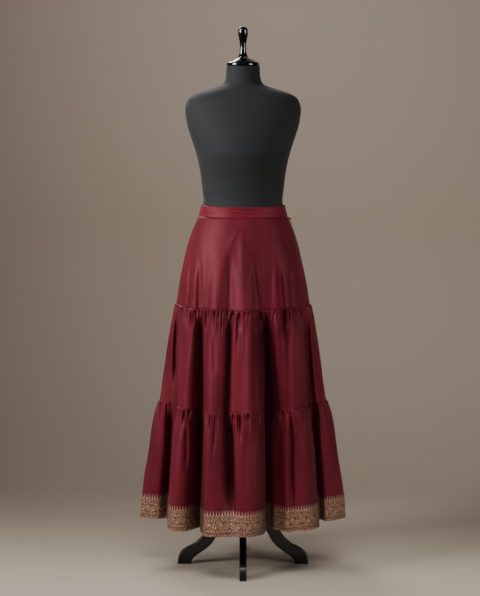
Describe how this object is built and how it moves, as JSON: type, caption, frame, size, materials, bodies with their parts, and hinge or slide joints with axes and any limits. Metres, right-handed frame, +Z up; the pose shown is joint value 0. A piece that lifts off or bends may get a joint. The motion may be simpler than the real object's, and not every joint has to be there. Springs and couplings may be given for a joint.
{
  "type": "tiered skirt on dress form",
  "caption": "Gathered ankle-length skirt in three tiers with a plain waistband, side zip and woven metallic hem border, hung on a limbless dress form with a four-leg base.",
  "frame": {"origin": "on the floor, under the middle of the part", "axes": "+Z up, -Y is the front of the skirt, +X is the wearer's left"},
  "size_m": [0.5955, 0.4642, 1.5398],
  "materials": {
    "silk": "soft sheen, slubbed plain weave",
    "zari_border": "woven gold thread on maroon",
    "zip_metal": "dark enamelled zinc",
    "form_jersey": "matt charcoal jersey",
    "black_lacquer": "gloss black",
    "black_wood": "black stain, satin"
  },
  "bodies": {
    "form": {"waistband_front": "silk", "waistband_back": "silk", "upper_tier_front": "silk", "upper_tier_back": "silk", "middle_tier_front": "silk", "middle_tier_back": "silk", "lower_tier_front": "silk", "lower_tier_back": "silk", "hem_border_front": "zari_border", "hem_border_back": "zari_border", "zip_slider": "zip_metal", "form_torso": "form_jersey", "neck_cap": "black_lacquer", "finial": "black_lacquer", "form_pole": "black_wood", "base_hub": "black_wood", "leg_front": "black_wood", "leg_left": "black_wood", "leg_back": "black_wood", "leg_right": "black_wood"},
    "zip_pull": {"zip_pull": "zip_metal"}
  },
  "joints": [
    {"name": "pull_swing", "type": "hinge", "parent": "form", "child": "zip_pull", "pos_m": [0.13312, 0, 1.00253], "axis": [0, -1, 0], "range_deg": [0, 130]}
  ]
}
